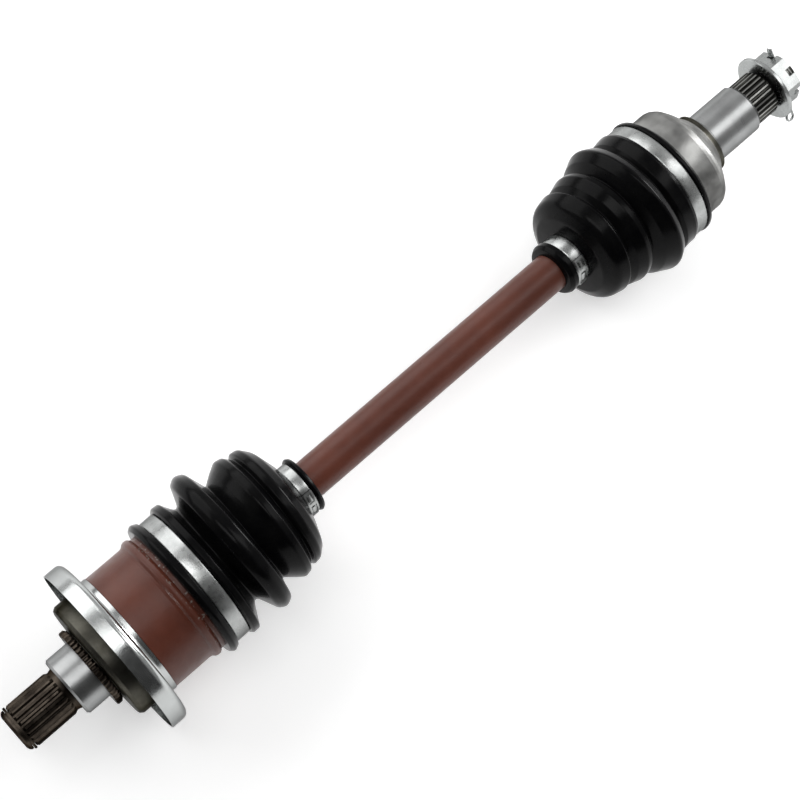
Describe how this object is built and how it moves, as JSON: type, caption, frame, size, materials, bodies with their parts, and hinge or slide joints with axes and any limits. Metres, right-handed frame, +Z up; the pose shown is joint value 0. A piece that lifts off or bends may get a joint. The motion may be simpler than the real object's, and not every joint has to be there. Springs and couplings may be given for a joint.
{
  "type": "cv axle",
  "caption": "Drive axle that joins a gearbox to a wheel hub: plunging and fixed ball joints in ribbed rubber boots, a bar, splined stubs and a slotted nut.",
  "frame": {"origin": "on the axle's axis at mid-length, in the middle of the painted bar", "axes": "+X along the axle towards the wheel stub and nut, +Z up, +Y completes a right-handed frame; both joints straight"},
  "size_m": [0.5596, 0.102, 0.102],
  "materials": {
    "brown_paint": "semi-gloss red-brown paint over forged steel",
    "forged_steel": "satin forged and machined steel",
    "ground_steel": "ground steel",
    "dark_steel": "oiled dark steel",
    "spring_steel": "oiled spring steel",
    "ball_steel": "polished bearing steel",
    "zinc_plate": "bright zinc plate",
    "stainless_band": "bright rolled stainless",
    "boot_rubber": "satin black rubber"
  },
  "bodies": {
    "axle": {"axle_shaft": "brown_paint", "inner_race": "ground_steel", "inner_race_clip": "spring_steel", "outer_race": "ground_steel", "outer_race_clip": "spring_steel", "inner_boot_band_small": "stainless_band", "outer_boot_band_small": "stainless_band"},
    "inner_cage_and_balls": {"inner_cage": "dark_steel", "inner_ball_1": "ball_steel", "inner_ball_2": "ball_steel", "inner_ball_3": "ball_steel", "inner_ball_4": "ball_steel", "inner_ball_5": "ball_steel", "inner_ball_6": "ball_steel"},
    "inner_cup": {"inner_housing": "brown_paint", "inner_stub_circlip": "spring_steel", "toothed_ring": "dark_steel", "dust_shield": "zinc_plate", "inner_stop_ring": "spring_steel", "inner_boot": "boot_rubber", "inner_boot_band_large": "stainless_band"},
    "outer_cage_and_balls": {"outer_cage": "dark_steel", "outer_ball_1": "ball_steel", "outer_ball_2": "ball_steel", "outer_ball_3": "ball_steel", "outer_ball_4": "ball_steel", "outer_ball_5": "ball_steel", "outer_ball_6": "ball_steel"},
    "outer_bell": {"outer_housing": "forged_steel", "castle_nut": "zinc_plate", "cotter_pin": "zinc_plate", "outer_boot": "boot_rubber", "outer_boot_band_large": "stainless_band"}
  },
  "joints": [
    {"name": "inner_bend", "type": "hinge", "parent": "axle", "child": "inner_cage_and_balls", "pos_m": [-0.188, 0, 0], "axis": [0, 1, 0], "range_deg": [-16, 16], "deforming": ["inner_boot"]},
    {"name": "inner_plunge", "type": "slide", "parent": "inner_cage_and_balls", "child": "inner_cup", "axis": [1, 0, 0], "range_m": [-0.012, 0.012]},
    {"name": "outer_bend", "type": "hinge", "parent": "axle", "child": "outer_cage_and_balls", "pos_m": [0.176, 0, 0], "axis": [0, 1, 0], "range_deg": [-20, 20], "deforming": ["outer_boot"]},
    {"name": "outer_steer", "type": "hinge", "parent": "outer_cage_and_balls", "child": "outer_bell", "pos_m": [0.176, 0, 0], "axis": [0, 0, 1], "range_deg": [-30, 30]}
  ]
}
